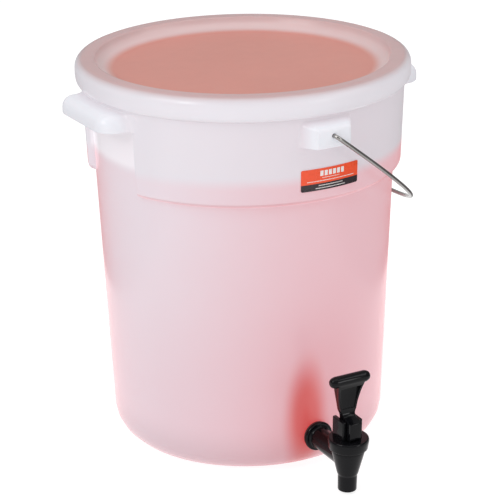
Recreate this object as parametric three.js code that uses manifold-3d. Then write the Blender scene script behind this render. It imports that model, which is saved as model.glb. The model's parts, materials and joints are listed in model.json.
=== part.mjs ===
// A 22-quart plastic pail with a snap lid, a wire bail, two moulded grips and a dispensing tap.
// Millimetres, +Z up. The origin is the centre of the underside; the tap points along -Y.
import * as THREE from 'three';
import { mergeVertices } from 'three/addons/utils/BufferGeometryUtils.js';
import Module from 'manifold-3d';

const wasm = await Module();
wasm.setup();

// ---- driving dimensions ----------------------------------------------------------------

const GAP = 0.3; // between pieces that touch
const ROUND = 72; // facets round the large turned pieces
const SMALL_ROUND = 24; // facets round the tap's turned pieces

const BODY = { footRadius: 137.2, topRadius: 148.2, baseFillet: 31, topZ: 285, wall: 3.5, floor: 4 };
const COLLAR = { bottomRadius: 155.4, topRadius: 158.7, bottomZ: 288.5, straightZ: 366, rimZ: 388 };
const RECESS = { halfWidth: 51, topZ: 350 };
const GRIP = { reach: 179, halfWidth: 50, bottomZ: 350, topZ: 367, skin: 4, cornerRadius: 14, root: 150 };
const EAR = { faceRadius: 172, bottomZ: 342, topZ: 366, rootHalfWidth: 27, faceHalfWidth: 18, root: 150 };
const HOLE = { radius: 2.4, bottomRadius: 159.5 };
const LID = { radius: 165, topZ: 394, skirtZ: 370, rimInner: 146, discZ: 382, skin: 3.5 };
const TAB = { azimuth: 61, halfWidth: 13, reach: 167 };
const BAIL = { pivotZ: 353.5, halfSpan: 177, depth: 191, power: 2.3, wire: 4, droop: 38, bend: 4 };
const LABEL = { from: -9.5, to: 13.7, bottomZ: 297.5, topZ: 319, thickness: 0.5 };

// The tap stands square to the tapered wall, so its axis leans out by the wall's draft.
const TAP = { wallZ: 37.5, reach: 59, shankRadius: 10.8, threadRadius: 8, threadEnd: 78, boreRadius: 5.5 };
const FLANGE = { radius: 15.2, thickness: 3.4 };
const WASHER = { thickness: 2.3, outerRadius: 14.2, innerRadius: 13, setback: 1.3 };
const NUT = { acrossFlats: 25, thickness: 8 };
const VALVE = {
  spoutRadius: 9.25,
  spoutZ: -32.2,
  seatZ: -6,
  outletRadius: 6.5,
  chamberRadius: 10.5,
  coneFootRadius: 10.4,
  coneFootZ: -14,
  coneTopRadius: 16.4,
};
const NECK = { radius: 14.4, topZ: 17.5 };
const BONNET = { radius: 20.2, bottomRadius: 19, bottomZ: 12.9, plateZ: 17.8, topZ: 24 };
const TOWER = { halfWidth: 11, slot: 6.6, frontY: -6.5, backY: 13, webY: 9.5, webZ: 38, topZ: 43.3 };
const STEM = { radius: 2.8, flangeRadius: 6.4, bottomZ: -2.2, eyeRadius: 5, eyeHalfWidth: 2.7 };
const CUP = { radius: 9.7, innerRadius: 7.9, topZ: 8 };
const SPRING = { radius: 4.9, wire: 1.2, turns: 6, bottomZ: -0.4, topZ: 17.4 };
const LEVER = { halfWidth: 6.2, pivotZ: 34.3, tilt: 28, lift: 7, barZ: 84.6, barRadius: 5.75, barHalf: 21.9 };
const PIN = { radius: 2, clearance: 0.3 };

const DEGREES = Math.PI / 180;
const DRAFT = Math.atan((BODY.topRadius - BODY.footRadius) / (BODY.topZ - BODY.baseFillet));

// Radius of the body's tapered wall, and of the collar's, at a height.
const bodyRadius = (z) => BODY.footRadius + (z - BODY.baseFillet) * Math.tan(DRAFT);
const collarRadius = (z) => {
  const rise = Math.min(1, (z - COLLAR.bottomZ) / (COLLAR.straightZ - COLLAR.bottomZ));
  return COLLAR.bottomRadius + rise * (COLLAR.topRadius - COLLAR.bottomRadius);
};

// ---- materials -------------------------------------------------------------------------

const paint = (color, roughness, metalness = 0) => (
  new THREE.MeshStandardMaterial({ color, roughness, metalness })
);
const milkyPlastic = paint(0xf0eef2, 0.42);
const lidPlastic = paint(0xf3eeee, 0.4);
const blackPlastic = paint(0x17141a, 0.22);
const blackRubber = paint(0x1b1b1d, 0.7);
const clearSilicone = paint(0xe4e1de, 0.5);
const steel = paint(0xb9bbbd, 0.22, 1);
const labelFilm = paint(0xe8492c, 0.35);

// ---- solids ----------------------------------------------------------------------------

// A closed three.js geometry as a manifold solid.
function solid(geometry) {
  const bare = geometry.clone();
  bare.deleteAttribute('normal');
  bare.deleteAttribute('uv');
  const merged = mergeVertices(bare, 1e-4);
  const mesh = new wasm.Mesh({
    numProp: 3,
    vertProperties: new Float32Array(merged.attributes.position.array),
    triVerts: new Uint32Array(merged.index.array),
  });
  return new wasm.Manifold(mesh);
}

// A manifold solid as a three.js geometry.
function geometryOf(body) {
  const { vertProperties, triVerts } = body.getMesh();
  const geometry = new THREE.BufferGeometry();
  geometry.setAttribute('position', new THREE.BufferAttribute(new Float32Array(vertProperties), 3));
  geometry.setIndex(new THREE.BufferAttribute(new Uint32Array(triVerts), 1));
  geometry.computeVertexNormals();
  return geometry;
}

const point = (x, y) => new THREE.Vector2(x, y);

// Points on an arc, from one angle to another in degrees, ends included.
function arc(x, y, radius, from, to, steps) {
  return Array.from({ length: steps + 1 }, (_, i) => {
    const angle = (from + ((to - from) * i) / steps) * DEGREES;
    return point(x + radius * Math.cos(angle), y + radius * Math.sin(angle));
  });
}

// Turned solid about Z. The profile is [radius, z] and runs anticlockwise seen from -Y.
function turned(profile, segments = SMALL_ROUND) {
  const outline = profile.map((p) => (p.isVector2 ? p : point(...p)));
  if (outline[0].x > 0) outline.push(outline[0].clone());
  return solid(new THREE.LatheGeometry(outline, segments).rotateX(Math.PI / 2));
}

const rod = (radius, fromZ, toZ, segments = SMALL_ROUND) => (
  turned([[0, fromZ], [radius, fromZ], [radius, toZ], [0, toZ]], segments)
);

const tube = (inner, outer, fromZ, toZ, segments = SMALL_ROUND) => (
  turned([[inner, fromZ], [outer, fromZ], [outer, toZ], [inner, toZ]], segments)
);

function block([x0, x1], [y0, y1], [z0, z1]) {
  const box = new THREE.BoxGeometry(x1 - x0, y1 - y0, z1 - z0);
  return solid(box.translate((x0 + x1) / 2, (y0 + y1) / 2, (z0 + z1) / 2));
}

// A flat outline given thickness: 'z' keeps [x, y], 'x' keeps [y, z], 'y' keeps [x, z].
function slab(outline, along, [from, to]) {
  const shape = new THREE.Shape(outline.map((p) => (p.isVector2 ? p : point(...p))));
  const geometry = new THREE.ExtrudeGeometry(shape, { depth: to - from, bevelEnabled: false });
  if (along === 'x') geometry.applyMatrix4(new THREE.Matrix4().makeRotationX(Math.PI / 2))
    .rotateZ(Math.PI / 2).translate(from, 0, 0);
  if (along === 'y') geometry.rotateX(Math.PI / 2).translate(0, to, 0);
  if (along === 'z') geometry.translate(0, 0, from);
  return solid(geometry);
}

const turnedAbout = (body, degrees) => body.rotate([0, 0, degrees]);
const bothSides = (body) => [body, turnedAbout(body, 180)];

// ---- the tap's own frame ---------------------------------------------------------------

// Its +Z runs up the stem and its +Y along the shank into the pail. Along the shank, the
// flange stops short of the wall by the washer, and the inner washer starts behind the wall.
const flangeFace = TAP.reach - WASHER.thickness - 2 * GAP;
const insideStart = TAP.reach + BODY.wall + WASHER.setback;
const alongShank = (body) => body.rotate([-90, 0, 0]);

const tapFrame = new THREE.Group();
tapFrame.position.set(
  0,
  -bodyRadius(TAP.wallZ) - TAP.reach * Math.cos(DRAFT),
  TAP.wallZ - TAP.reach * Math.sin(DRAFT),
);
tapFrame.rotation.x = DRAFT;
tapFrame.updateMatrixWorld();

// ---- pail ------------------------------------------------------------------------------

// Outline of the pail from the axis outwards, moved in by the given skin thickness.
function pailOutline(skin, floorZ, topZ) {
  const foot = BODY.footRadius - BODY.baseFillet;
  const slope = DRAFT / DEGREES;
  return [
    point(0, floorZ),
    ...arc(foot, BODY.baseFillet, BODY.baseFillet - skin, -90, -slope, 6),
    point(bodyRadius(BODY.topZ) - skin, BODY.topZ + 0.9 * skin),
    point(bodyRadius(BODY.topZ) + 2 - skin, BODY.topZ + 1 + skin),
    point(COLLAR.bottomRadius - 3 - skin, BODY.topZ + 1.5 + skin),
    point(COLLAR.bottomRadius - 0.8 - skin, BODY.topZ + 2.4 + skin),
    point(COLLAR.bottomRadius - skin, COLLAR.bottomZ + skin),
    point(COLLAR.topRadius - skin, COLLAR.straightZ),
    point(COLLAR.topRadius - skin, topZ),
    point(0, topZ),
  ];
}

// Everything beyond the body's taper in a window over one grip, facing +X.
function beyondTaper(skin, halfWidth, fromZ, toZ) {
  const window = block([100, 210], [-halfWidth, halfWidth], [fromZ, toZ]);
  const core = turned([
    [0, fromZ - 1],
    [bodyRadius(fromZ - 1) - skin, fromZ - 1],
    [bodyRadius(toZ + 1) - skin, toZ + 1],
    [0, toZ + 1],
  ], ROUND);
  return window.subtract(core);
}

// A grip seen from above: a bar across +X with round corners, moved in by the given inset.
function gripPlan(inset, zs) {
  const { reach, halfWidth, cornerRadius } = GRIP;
  const root = 120;
  const middle = reach - cornerRadius;
  const corner = halfWidth - cornerRadius;
  const radius = cornerRadius - inset;
  return slab([
    [root, inset - halfWidth],
    ...arc(middle, -corner, radius, -90, 0, 4),
    ...arc(middle, corner, radius, 0, 90, 4),
    [root, halfWidth - inset],
  ], 'z', zs);
}

// The bar over the recess: straight outside, rounded at its corners and along its top.
function grip() {
  const { reach, halfWidth, bottomZ, topZ, root } = GRIP;
  const section = slab([
    [root, bottomZ],
    [reach - 2, bottomZ],
    [reach, bottomZ + 2],
    ...arc(reach - 8, topZ - 10, 8, 0, 75, 3),
    [COLLAR.topRadius, topZ],
    [root, topZ],
  ], 'y', [-60, 60]);
  const front = slab([
    [-halfWidth, bottomZ],
    [halfWidth, bottomZ],
    ...arc(halfWidth - 9, topZ - 9, 9, 0, 90, 3),
    ...arc(9 - halfWidth, topZ - 9, 9, 90, 180, 3),
  ], 'x', [100, 210]);
  return gripPlan(0, [bottomZ, topZ + 1]).intersect(section).intersect(front);
}

// The hollow under the grip, where fingers go.
function gripHollow() {
  const { halfWidth, topZ, skin } = GRIP;
  return beyondTaper(0, halfWidth - skin, RECESS.topZ - 1, topZ - skin - 1)
    .intersect(gripPlan(skin, [300, 400]));
}

// The blind hole in an ear for the end of the wire, facing +X.
const wireHole = () => (
  rod(HOLE.radius, 0, 30, 12).rotate([0, 90, 0]).translate([HOLE.bottomRadius, 0, BAIL.pivotZ])
);

// The bail's ear: a wedge on the collar with a flat face, facing +X.
function ear() {
  const { faceRadius, bottomZ, topZ, rootHalfWidth, faceHalfWidth, root } = EAR;
  const plan = slab([
    [root, -rootHalfWidth],
    [COLLAR.topRadius - 2, -rootHalfWidth],
    [faceRadius - 1.2, -faceHalfWidth - 0.8],
    [faceRadius, -faceHalfWidth + 1],
    [faceRadius, faceHalfWidth - 1],
    [faceRadius - 1.2, faceHalfWidth + 0.8],
    [COLLAR.topRadius - 2, rootHalfWidth],
    [root, rootHalfWidth],
  ], 'z', [bottomZ, topZ]);
  const section = slab([
    [root, bottomZ],
    [faceRadius - 1.5, bottomZ],
    [faceRadius, bottomZ + 1.5],
    [faceRadius, topZ - 5],
    [faceRadius - 2.5, topZ - 2.5],
    [COLLAR.topRadius, topZ],
    [root, topZ],
  ], 'y', [-60, 60]);
  return plan.intersect(section);
}

function makePail() {
  const outside = turned(pailOutline(0, 0, COLLAR.rimZ), ROUND);
  const inside = turned(pailOutline(BODY.wall, BODY.floor, COLLAR.rimZ + 5), ROUND);
  const recess = beyondTaper(0, RECESS.halfWidth, BODY.topZ, RECESS.topZ);
  const recessBack = beyondTaper(BODY.wall, RECESS.halfWidth + BODY.wall, BODY.topZ + 1, GRIP.topZ - 1.5);
  let shell = outside;
  for (const cut of bothSides(recess)) shell = shell.subtract(cut);
  for (const bar of bothSides(grip())) shell = shell.add(bar);
  for (const hollow of bothSides(gripHollow())) shell = shell.subtract(hollow);
  for (const wedge of bothSides(turnedAbout(ear(), 90))) shell = shell.add(wedge);
  for (const hole of bothSides(turnedAbout(wireHole(), 90))) shell = shell.subtract(hole);
  let cavity = inside;
  for (const keep of bothSides(recessBack)) cavity = cavity.subtract(keep);
  const shankHole = alongShank(rod(TAP.threadRadius + 0.6, TAP.reach - 10, TAP.reach + 15));
  const placed = solid(geometryOf(shankHole).applyMatrix4(tapFrame.matrixWorld));
  return shell.subtract(cavity).subtract(placed);
}

// ---- lid -------------------------------------------------------------------------------

// Raised hollow rim over the pail's edge, a skirt that curls in below it, and a sunk disc.
function makeLid() {
  const { radius, topZ, skirtZ, rimInner, discZ, skin } = LID;
  const edge = 2.5;
  const shell = turned([
    [0, discZ - skin],
    [rimInner + skin, discZ - skin],
    [rimInner + skin, topZ - skin],
    [radius - skin, topZ - skin],
    [radius - skin, skirtZ + 6],
    [COLLAR.topRadius + 0.8, skirtZ + 1.5],
    [COLLAR.topRadius + 1.2, skirtZ],
    [radius - 3.4, skirtZ + 0.8],
    [radius - 0.8, skirtZ + 4],
    [radius, skirtZ + 8],
    ...arc(radius - edge, topZ - edge, edge, 0, 90, 3),
    ...arc(rimInner + edge, topZ - edge, edge, 90, 180, 3),
    [rimInner - 0.5, discZ + 2],
    [rimInner - 3, discZ],
    [0, discZ],
  ], ROUND);
  const tab = slab([
    [radius - 5, -TAB.halfWidth],
    [radius - 1, -TAB.halfWidth],
    [TAB.reach, -TAB.halfWidth + 5],
    [TAB.reach, TAB.halfWidth - 5],
    [radius - 1, TAB.halfWidth],
    [radius - 5, TAB.halfWidth],
  ], 'z', [skirtZ + 1.5, skirtZ + 4.5]);
  return shell.add(turnedAbout(tab, TAB.azimuth - 90));
}

// Flat gasket in the lid's channel, on the pail's edge.
const makeLidSeal = () => (
  tube(COLLAR.topRadius - 5, COLLAR.topRadius + 1.2, COLLAR.rimZ + GAP, LID.topZ - LID.skin - GAP, ROUND)
);

// ---- bail ------------------------------------------------------------------------------

// Centreline of the wire in its own plane: across the pail along Y, depth along +X.
class BailLine extends THREE.Curve {
  getPoint(t, target = new THREE.Vector3()) {
    const { halfSpan, depth, power, bend } = BAIL;
    const endZone = 0.07;
    const side = t < 0.5 ? -1 : 1;
    const fromEnd = Math.min(t, 1 - t);
    if (fromEnd < endZone) {
      const along = (fromEnd / endZone) * (halfSpan - HOLE.bottomRadius - 1 + bend * (Math.PI / 2 - 1));
      const straight = halfSpan - bend - HOLE.bottomRadius - 1;
      const turn = Math.max(0, (along - straight) / bend);
      const reach = HOLE.bottomRadius + 1 + Math.min(along, straight) + bend * Math.sin(turn);
      return target.set(bend * (1 - Math.cos(turn)), side * reach, 0);
    }
    const start = Math.asin((bend / depth) ** (power / 2));
    const angle = start + ((fromEnd - endZone) / (0.5 - endZone)) * (Math.PI / 2 - start);
    const across = halfSpan * Math.cos(angle) ** (2 / power);
    return target.set(depth * Math.sin(angle) ** (2 / power), side * across, 0);
  }
}

function makeBail() {
  const section = new THREE.Shape(arc(0, 0, BAIL.wire / 2, 0, 315, 7));
  return new THREE.ExtrudeGeometry(section, { steps: 84, extrudePath: new BailLine(), bevelEnabled: false });
}

// ---- label -----------------------------------------------------------------------------

// A thin film wrapped on the collar, following its slight taper.
function makeLabel() {
  const steps = 6;
  const wrap = (z, lift) => collarRadius(z) + GAP + lift;
  const band = turned([
    [wrap(LABEL.bottomZ, 0), LABEL.bottomZ],
    [wrap(LABEL.bottomZ, LABEL.thickness), LABEL.bottomZ],
    [wrap(LABEL.topZ, LABEL.thickness), LABEL.topZ],
    [wrap(LABEL.topZ, 0), LABEL.topZ],
  ], ROUND);
  const sector = slab([
    [0, 0],
    ...arc(0, 0, 250, LABEL.from - 90, LABEL.to - 90, steps),
  ], 'z', [LABEL.bottomZ - 5, LABEL.topZ + 5]);
  return band.intersect(sector);
}

// ---- tap, in its own frame: Z up the valve, +Y along the shank into the pail ------------------

function makeTapBody() {
  const { spoutRadius, spoutZ, seatZ, outletRadius, chamberRadius } = VALVE;
  const valve = turned([
    [0, spoutZ],
    [spoutRadius - 0.6, spoutZ],
    [spoutRadius, spoutZ + 1],
    [spoutRadius + 0.3, VALVE.coneFootZ - 1.6],
    [VALVE.coneFootRadius, VALVE.coneFootZ],
    [VALVE.coneTopRadius, BONNET.bottomZ - 3],
    [VALVE.coneTopRadius, BONNET.bottomZ - 0.5],
    [NECK.radius, BONNET.bottomZ - 0.5],
    [NECK.radius, NECK.topZ],
    [0, NECK.topZ],
  ], 36);
  const shank = alongShank(rod(TAP.shankRadius, 0, flangeFace, 24));
  const flange = alongShank(turned([
    [0, flangeFace - FLANGE.thickness],
    [FLANGE.radius - 1.4, flangeFace - FLANGE.thickness],
    [FLANGE.radius, flangeFace - FLANGE.thickness / 2],
    [FLANGE.radius - 0.4, flangeFace],
    [0, flangeFace],
  ], 36));
  const thread = alongShank(rod(TAP.threadRadius, 0, TAP.threadEnd));
  const bore = alongShank(rod(TAP.boreRadius, 0, TAP.threadEnd + 1, 16));
  const chamber = rod(chamberRadius, seatZ, NECK.topZ + 1);
  const outlet = rod(outletRadius, spoutZ - 1, seatZ + 1, 20);
  return valve.add(shank).add(flange).add(thread).subtract(bore).subtract(chamber).subtract(outlet);
}

// Rubber washer outside the wall, between the pail and the flange.
function makeOuterWasher() {
  const start = TAP.reach - WASHER.thickness - GAP;
  return alongShank(tube(TAP.threadRadius + GAP, WASHER.outerRadius, start, start + WASHER.thickness));
}

// Washer and nut on the thread inside the wall.
const makeInnerWasher = () => alongShank(tube(
  TAP.threadRadius + GAP,
  WASHER.innerRadius,
  insideStart,
  insideStart + WASHER.thickness,
));

function makeNut() {
  const start = insideStart + WASHER.thickness + GAP;
  const corner = NUT.acrossFlats / 2 / Math.cos(Math.PI / 6);
  const hexagon = rod(corner, start, start + NUT.thickness, 6);
  return alongShank(hexagon.subtract(rod(TAP.threadRadius + GAP, start - 1, start + NUT.thickness + 1)));
}

const makeSeatCup = () => turned([
  [0, VALVE.seatZ + GAP],
  [CUP.radius - 1.2, VALVE.seatZ + GAP],
  [CUP.radius, VALVE.seatZ + 2],
  [CUP.radius - 0.6, CUP.topZ],
  [CUP.innerRadius, CUP.topZ],
  [CUP.innerRadius, STEM.bottomZ - GAP],
  [0, STEM.bottomZ - GAP],
]);

function makeStem() {
  const { radius, flangeRadius, bottomZ, eyeRadius, eyeHalfWidth } = STEM;
  const shaft = rod(radius, bottomZ, LEVER.pivotZ, 16);
  const foot = rod(flangeRadius, bottomZ, bottomZ + 1.5, 16);
  const eye = rod(eyeRadius, -eyeHalfWidth, eyeHalfWidth, 20).rotate([0, 90, 0]);
  const hole = rod(PIN.radius + PIN.clearance, -20, 20, 12).rotate([0, 90, 0]);
  return shaft.add(foot).add(eye.translate([0, 0, LEVER.pivotZ]))
    .subtract(hole.translate([0, 0, LEVER.pivotZ]));
}

class SpringLine extends THREE.Curve {
  getPoint(t, target = new THREE.Vector3()) {
    const angle = t * SPRING.turns * 2 * Math.PI;
    const half = SPRING.wire / 2;
    const rise = SPRING.topZ - SPRING.bottomZ - SPRING.wire;
    return target.set(
      SPRING.radius * Math.cos(angle),
      SPRING.radius * Math.sin(angle),
      SPRING.bottomZ + half + t * rise,
    );
  }
}

function makeSpring() {
  const section = new THREE.Shape(arc(0, 0, SPRING.wire / 2, 0, 300, 5));
  const extrudePath = new SpringLine();
  return new THREE.ExtrudeGeometry(section, { steps: 84, extrudePath, bevelEnabled: false });
}

// Screw-on cap with two cheeks and a low back wall that hold the lever.
function makeBonnet() {
  const { radius, bottomRadius, bottomZ, plateZ, topZ } = BONNET;
  const cap = turned([
    [0, plateZ],
    [NECK.radius + GAP, plateZ],
    [NECK.radius + GAP, bottomZ],
    [bottomRadius, bottomZ],
    [radius, topZ - 2.2],
    [radius - 0.9, topZ],
    [0, topZ],
  ], 36);
  const { halfWidth, slot, frontY, backY, webY, webZ } = TOWER;
  const edge = 1.2;
  const cheeks = slab([
    [-halfWidth, frontY],
    [halfWidth, frontY],
    [halfWidth, backY - edge],
    [halfWidth - edge, backY],
    [edge - halfWidth, backY],
    [-halfWidth, backY - edge],
  ], 'z', [topZ - 1, TOWER.topZ]);
  const channel = block([-slot, slot], [frontY - 1, webY], [topZ, TOWER.topZ + 1])
    .add(block([-slot, slot], [webY - 1, backY + 1], [webZ, TOWER.topZ + 1]));
  const passage = rod(STEM.radius + 0.4, 0, topZ + 1, 16);
  return cap.add(cheeks.subtract(channel)).subtract(passage);
}

// The lever's foot rolls on the bonnet: its outline is an involute, so the pin rises by the
// same amount for each degree of tilt.
function footCurve(steps) {
  const rest = LEVER.pivotZ - BONNET.topZ - GAP;
  return Array.from({ length: steps + 1 }, (_, i) => {
    const angle = (LEVER.tilt * DEGREES * i) / steps;
    const reach = rest + LEVER.lift * angle;
    return point(
      -reach * Math.sin(angle) - LEVER.lift * Math.cos(angle),
      LEVER.pivotZ - reach * Math.cos(angle) + LEVER.lift * Math.sin(angle),
    );
  });
}

function makeLever() {
  const { halfWidth, pivotZ, barZ, barRadius, barHalf } = LEVER;
  const foot = footCurve(6);
  const blockFront = foot[foot.length - 1].x - 0.1;
  const side = slab([
    [4, BONNET.topZ + GAP],
    ...foot,
    [blockFront, 27],
    [blockFront, 42.6],
    [-5, 44.4],
    ...arc(-5, 51.5, 6.2, -75, -10, 4),
    [1.2, 60],
    [0.6, 74],
    [-2.2, 81],
    [-2.2, 88],
    [2, 89],
    [6.5, 86],
    [7.6, 76],
    [7.6, 48],
    [6.4, 32],
  ], 'x', [-25, 25]);
  const front = slab([
    [-halfWidth, 20],
    [halfWidth, 20],
    [halfWidth, 46],
    [8.6, 50],
    [14.2, 80],
    [16, 90],
    [-16, 90],
    [-14.2, 80],
    [-8.6, 50],
    [-halfWidth, 46],
  ], 'y', [-25, 25]);
  const pocket = slab([
    [-6.4, 53],
    [6.4, 53],
    [11.4, 77],
    [-11.4, 77],
  ], 'y', [-5, 1.9]);
  const bar = turned([
    [0, -barHalf],
    [barRadius * 0.6, 1 - barHalf],
    [barRadius, 4 - barHalf],
    [barRadius, barHalf - 4],
    [barRadius * 0.6, barHalf - 1],
    [0, barHalf],
  ]).rotate([0, 90, 0]).translate([0, 0.6, barZ]);
  const slot = STEM.eyeHalfWidth + 0.5;
  const eyeSlot = block([-slot, slot], [-9.5, 9.5], [20, pivotZ + 6.2]);
  const hole = rod(PIN.radius + PIN.clearance, -20, 20, 12).rotate([0, 90, 0]);
  return side.intersect(front).subtract(pocket).add(bar).subtract(eyeSlot)
    .subtract(hole.translate([0, 0, pivotZ]));
}

const makePin = () => (
  rod(PIN.radius, GAP - LEVER.halfWidth, LEVER.halfWidth - GAP, 12)
    .rotate([0, 90, 0]).translate([0, 0, LEVER.pivotZ])
);

// ---- assembly --------------------------------------------------------------------------

function piece(name, shape, material) {
  const geometry = shape.isBufferGeometry ? shape : geometryOf(shape);
  const mesh = new THREE.Mesh(geometry, material);
  mesh.name = name;
  return mesh;
}

const bailFrame = new THREE.Group();
bailFrame.position.z = BAIL.pivotZ;
bailFrame.rotation.y = BAIL.droop * DEGREES;
bailFrame.add(piece('bail', makeBail(), steel));

tapFrame.add(
  piece('tap_body', makeTapBody(), blackPlastic),
  piece('outer_washer', makeOuterWasher(), blackRubber),
  piece('inner_washer', makeInnerWasher(), blackRubber),
  piece('lock_nut', makeNut(), blackPlastic),
  piece('seat_cup', makeSeatCup(), clearSilicone),
  piece('stem', makeStem(), blackPlastic),
  piece('stem_spring', makeSpring(), steel),
  piece('bonnet', makeBonnet(), blackPlastic),
  piece('lever', makeLever(), blackPlastic),
  piece('lever_pin', makePin(), steel),
);

const bucket = new THREE.Group();
bucket.add(
  piece('pail', makePail(), milkyPlastic),
  piece('lid', makeLid(), lidPlastic),
  piece('lid_seal', makeLidSeal(), clearSilicone),
  piece('label', makeLabel(), labelFilm),
  bailFrame,
  tapFrame,
);

export default bucket;
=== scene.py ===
"""Looks for a lidded plastic pail with a wire bail and a lever tap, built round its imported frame."""
import json
import math

import bmesh
import bpy
import numpy as np
from mathutils import Matrix, Vector


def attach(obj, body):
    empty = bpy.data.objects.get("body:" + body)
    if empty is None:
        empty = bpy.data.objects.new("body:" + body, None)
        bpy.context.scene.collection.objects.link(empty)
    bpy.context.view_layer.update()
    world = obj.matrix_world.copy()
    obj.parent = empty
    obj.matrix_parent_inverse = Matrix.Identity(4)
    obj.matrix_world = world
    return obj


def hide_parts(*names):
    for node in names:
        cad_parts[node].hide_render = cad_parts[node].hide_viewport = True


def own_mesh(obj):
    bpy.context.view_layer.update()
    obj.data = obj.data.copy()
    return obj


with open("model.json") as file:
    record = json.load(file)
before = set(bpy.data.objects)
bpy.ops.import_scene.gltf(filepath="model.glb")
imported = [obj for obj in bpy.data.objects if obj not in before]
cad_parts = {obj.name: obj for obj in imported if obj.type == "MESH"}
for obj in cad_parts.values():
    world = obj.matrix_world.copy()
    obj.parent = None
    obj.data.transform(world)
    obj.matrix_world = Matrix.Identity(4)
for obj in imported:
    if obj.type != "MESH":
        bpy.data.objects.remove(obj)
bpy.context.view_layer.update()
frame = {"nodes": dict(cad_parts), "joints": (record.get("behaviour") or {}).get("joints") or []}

MM = 0.001

# ---- camera and light -------------------------------------------------------------------
CAMERA = {
    "azimuth": -29.0,       # degrees from -Y, towards -X when negative
    "distance": 2053.3,     # mm from the axis, level
    "height": 940.7,        # mm
    "pitch": 20.14,         # degrees, downwards
    "yaw": 0.12,            # degrees
    "roll": -0.85,          # degrees
    "lens": 155.42,         # mm
    "sensor": 36.0,         # mm
}
CAMERA_TURN = math.radians(CAMERA["azimuth"])

FLOOR_HALF = 14000.0        # mm, wide enough to keep the horizon out of the picture
FLOOR_Z = (-20.0, -0.4)     # mm
FLOOR_GLOW = 0.84
WORLD_STRENGTH = 0.50
CARD_START = (0.17, 0.42)   # m beside and behind the pail's axis, seen from the camera
CARD_END = (0.55, -0.35)
CARD_Z = (0.06, 0.42)
LIGHT_AIM = Vector((0.0, 0.0, 0.2))
LIGHTS = [
    # name, azimuth, elevation, distance in m, width and height in m, watts
    ("key", 21.0, 10.0, 2.0, (0.5, 0.6), 5.0),
    ("top", -20.0, 80.0, 2.2, (2.2, 2.2), 16.0),
    ("left", -80.0, 38.0, 2.2, (1.0, 1.0), 14.0),
    ("glint", -66.0, 30.0, 1.6, (0.12, 0.22), 2.6),
    ("right", 50.0, 38.0, 2.2, (1.0, 1.0), 7.5),
]

# ---- driving sizes, mm, in the frame: +Z up, tap towards -Y, grips on +X and -X -----------
FOOT_RADIUS = 137.2
FOOT_Z = 31.0
BODY_TOP_RADIUS = 148.2
BODY_TOP_Z = 285.0
COLLAR_BOTTOM = (155.4, 288.0)
COLLAR_TOP = (158.7, 366.0)
RIM_Z = 388.0
WALL = 3.5
FLOOR = 4.0
INNER_HEEL = 26.0           # how far the rounding inside the heel reaches
INNER_STEP = (287.6, 289.8)
STEP_RADII_Z = 290.0        # the step's top takes the wall's radii at this height
RECESS_FOOT_Z = 335.0
RECESS_EDGE = (18.7, 19.7)  # degrees off a grip's middle where the recess under it ends
GRIP_REACH = 179.0
GRIP_HALF = 50.0
GRIP_CORNER = 17.0
GRIP_BOTTOM = 350.0
GRIP_TOP = 366.5
GRIP_HOLLOW_TOP = 362.0
GRIP_SPAN = 22.6            # degrees off a grip's middle where its own shape ends
GRIP_SHUT = (14.2, 16.2)    # degrees where the hollow under it closes
GRIP_FADE = (20.9, 22.4)    # degrees where it turns into the collar
EAR_FACE = 172.0
EAR_FACE_HALF = 18.0
EAR_ROOT_HALF = 27.0
EAR_Z = (342.0, 363.0)
EAR_SPAN = 12.0             # degrees off an ear's middle where its own shape ends
EAR_FADE = (9.6, 11.4)      # degrees where it turns into the collar
HOLE_RADIUS = 2.6
HOLE_ENDS = (159.0, 176.0)
DRINK_Z = 307.0

LID_RADIUS = 165.0
LID_TOP = 394.0
LID_SKIRT = 370.0
LID_INNER = 146.0
LID_DISC = 382.0
TAB_AZIMUTH = 61.0
TAB_HALF = 13.0

BAIL_SPAN = 177.0
BAIL_DEPTH = 191.0
BAIL_POWER = 2.3
BAIL_DROOP = 38.0
BAIL_BEND = 4.0
BAIL_WIRE = 2.0
BAIL_END = 160.5

LABEL_FROM = -9.5
LABEL_TO = 13.7
LABEL_Z = (297.5, 319.0)

# ---- the tap, mm, in its own frame: +Z up its stem, +Y along its shank into the pail ------
TAP_WALL_Z = 37.5
TAP_REACH = 59.0
FLANGE_SETBACK = 2.9        # the outer washer and its clearance
SHANK_RADIUS = 10.8
THREAD_RADIUS = 8.0
THREAD_END = 78.0
BORE_RADIUS = 5.5
TAP_HOLE_RADIUS = 8.6
NUT_ROOM_RADIUS = 16.0
SPOUT_RADIUS = 9.25
SPOUT_Z = -32.2
CONE_FOOT = (10.4, -14.0)
CONE_TOP_RADIUS = 16.4
CHAMBER_RADIUS = 10.5
SEAT_Z = -6.0
OUTLET_RADIUS = 6.5
NECK_RADIUS = 14.4
NECK_TOP = 17.5
BONNET_RADIUS = 20.2
BONNET_Z = (12.9, 17.8, 24.0)
TOWER_HALF = 11.0
TOWER_SLOT = 6.6
TOWER_TOP = 43.3
TOWER_Y = (-6.5, 13.0)
TOWER_CORNER = 1.2
TOWER_WEB = (9.5, 38.0)     # front of its back wall along Y, and top of that wall along Z
PASSAGE_RADIUS = 3.2
GAP = 0.3
PIVOT = 34.3
FOOT_LIFT = 7.0
LEVER_TILT = 28.0
LEVER_HALF = 6.2
EYE_SLOT_HALF = 3.2
PIN_HOLE_RADIUS = 2.3
BAR_Y = 0.6
BAR_Z = 84.6
BAR_RADIUS = 5.75
BAR_HALF = 21.9
SPRING_Z = (-0.4, 17.4)
SPRING_RADIUS = 4.9
SPRING_WIRE = 1.2
SPRING_TURNS = 6

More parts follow.
